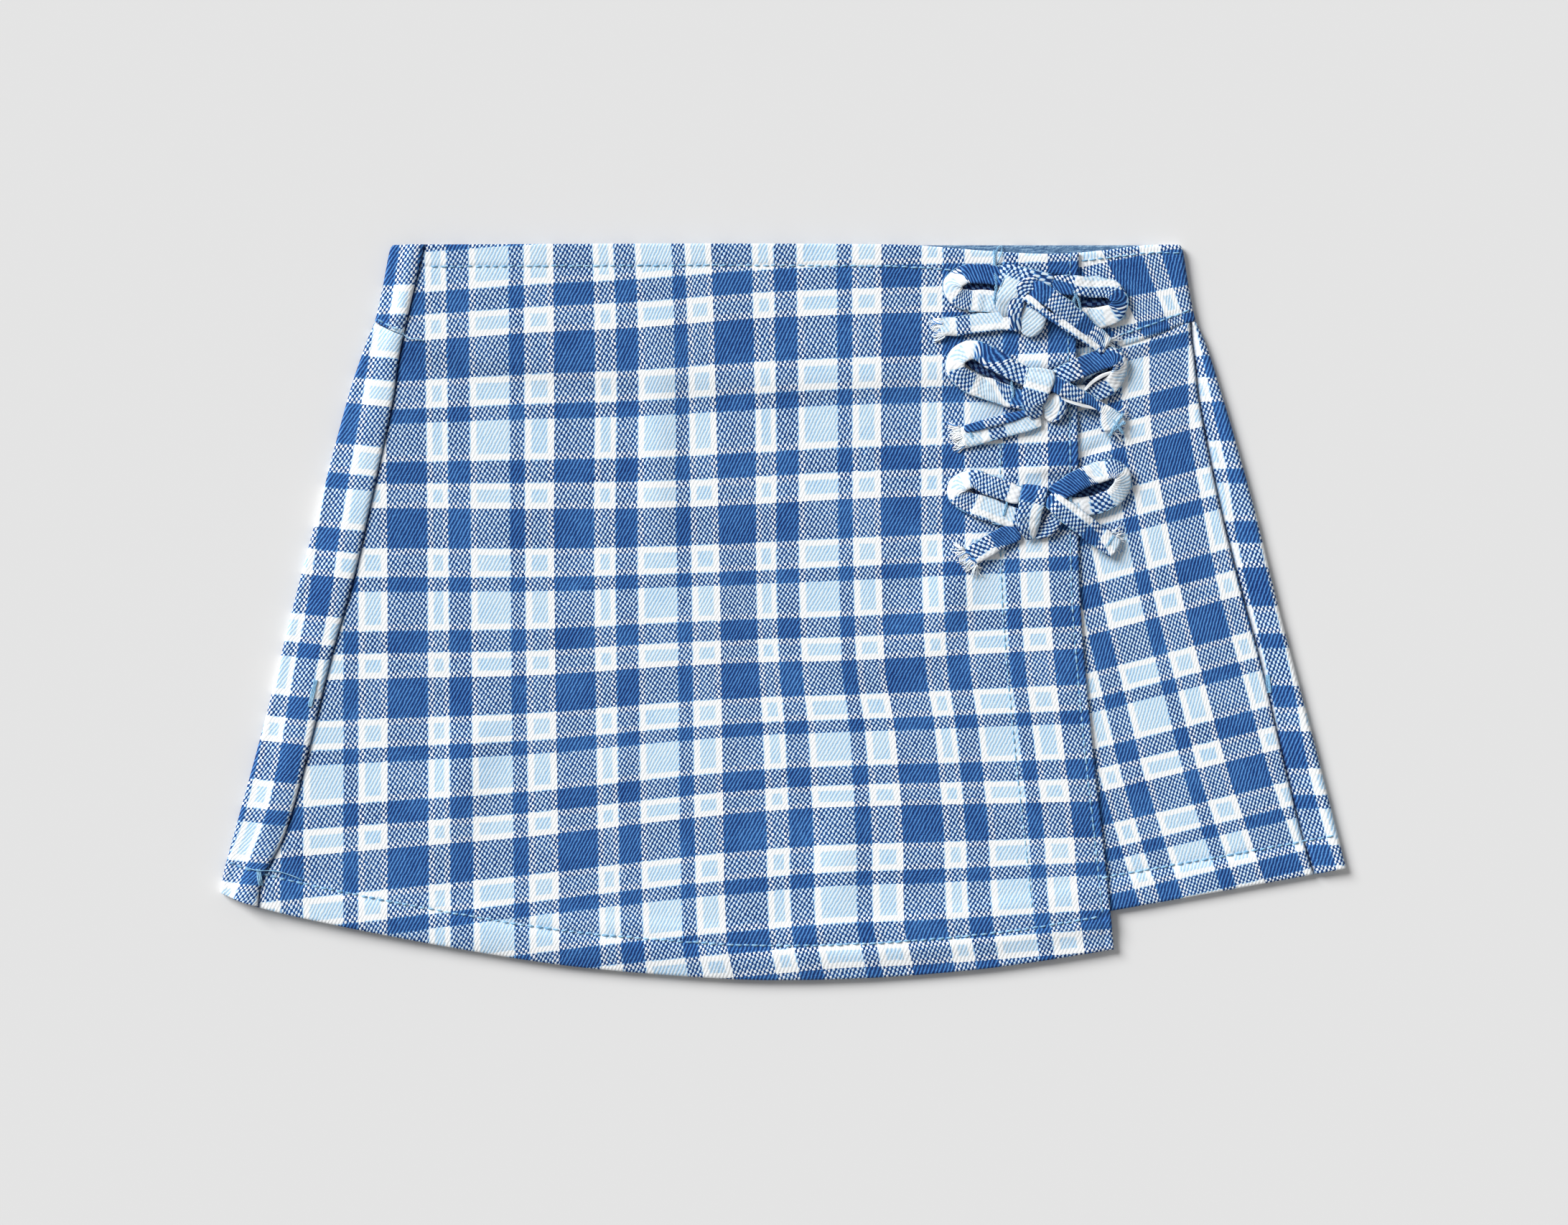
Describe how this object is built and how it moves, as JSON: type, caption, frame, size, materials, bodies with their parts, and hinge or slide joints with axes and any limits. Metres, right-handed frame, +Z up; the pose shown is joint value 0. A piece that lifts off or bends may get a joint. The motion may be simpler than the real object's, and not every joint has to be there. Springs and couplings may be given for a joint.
{
  "type": "skort",
  "caption": "Girls' wrap-front skort in indigo and white check twill laid flat: shorts under a skirt panel that self-fabric bows tie at the side.",
  "frame": {"origin": "on the ground under the middle of the laid garment's bounding box", "axes": "+X to the viewer's right across the garment, +Y from hem to waist, +Z up out of the front"},
  "size_m": [0.3968, 0.2591, 0.0111],
  "materials": {
    "check_twill": "matt indigo and white check twill",
    "tie_twill": "matt strips of the same check twill, edges turned and ends frayed"
  },
  "bodies": {
    "root": {"back_panel_left": "check_twill", "back_panel_right": "check_twill", "front_panel_left": "check_twill", "front_panel_right": "check_twill", "waistband_back": "check_twill", "waistband_front": "check_twill", "wrap_panel": "check_twill", "bow_1_knot": "tie_twill", "bow_1_loop_left": "tie_twill", "bow_1_loop_right": "tie_twill", "bow_1_tail_left": "tie_twill", "bow_1_tail_right": "tie_twill", "bow_2_knot": "tie_twill", "bow_2_loop_left": "tie_twill", "bow_2_loop_right": "tie_twill", "bow_2_tail_left": "tie_twill", "bow_2_tail_right": "tie_twill", "bow_3_knot": "tie_twill", "bow_3_loop_left": "tie_twill", "bow_3_loop_right": "tie_twill", "bow_3_tail_left": "tie_twill", "bow_3_tail_right": "tie_twill"}
  },
  "joints": []
}
